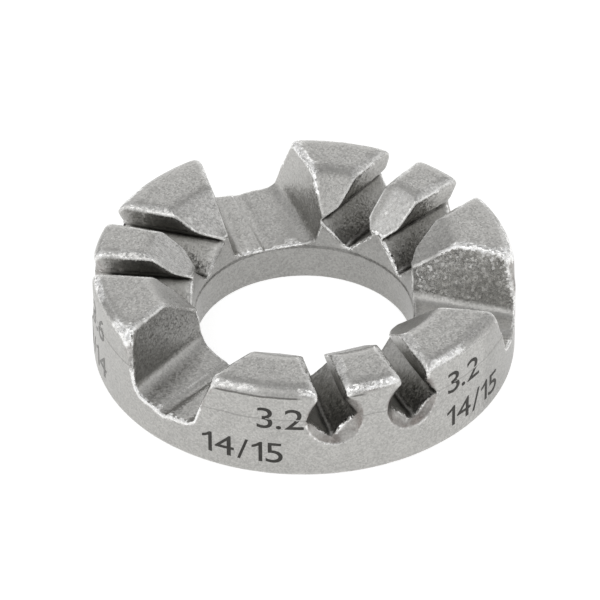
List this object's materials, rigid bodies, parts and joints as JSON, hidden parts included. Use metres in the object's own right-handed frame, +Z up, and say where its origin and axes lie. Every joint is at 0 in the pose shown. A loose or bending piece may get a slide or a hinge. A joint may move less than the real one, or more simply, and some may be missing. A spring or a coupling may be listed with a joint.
{
  "type": "spoke wrench",
  "caption": "Flat steel ring wrench with keyhole sockets cut across its rim in pairs for spoke nipples, and valleys that let a spoke cross the ring.",
  "frame": {"origin": "centre of the flat underside, on the axis of the ring", "axes": "+Z up along the ring's axis, away from the flat face; -Y through the middle of the pair of sockets marked 3.2"},
  "size_m": [0.04, 0.04, 0.01],
  "materials": {
    "nickel_steel": "fine-grained satin nickel plate over bead-blasted cast steel"
  },
  "bodies": {
    "root": {"wrench_ring": "nickel_steel"}
  },
  "joints": []
}
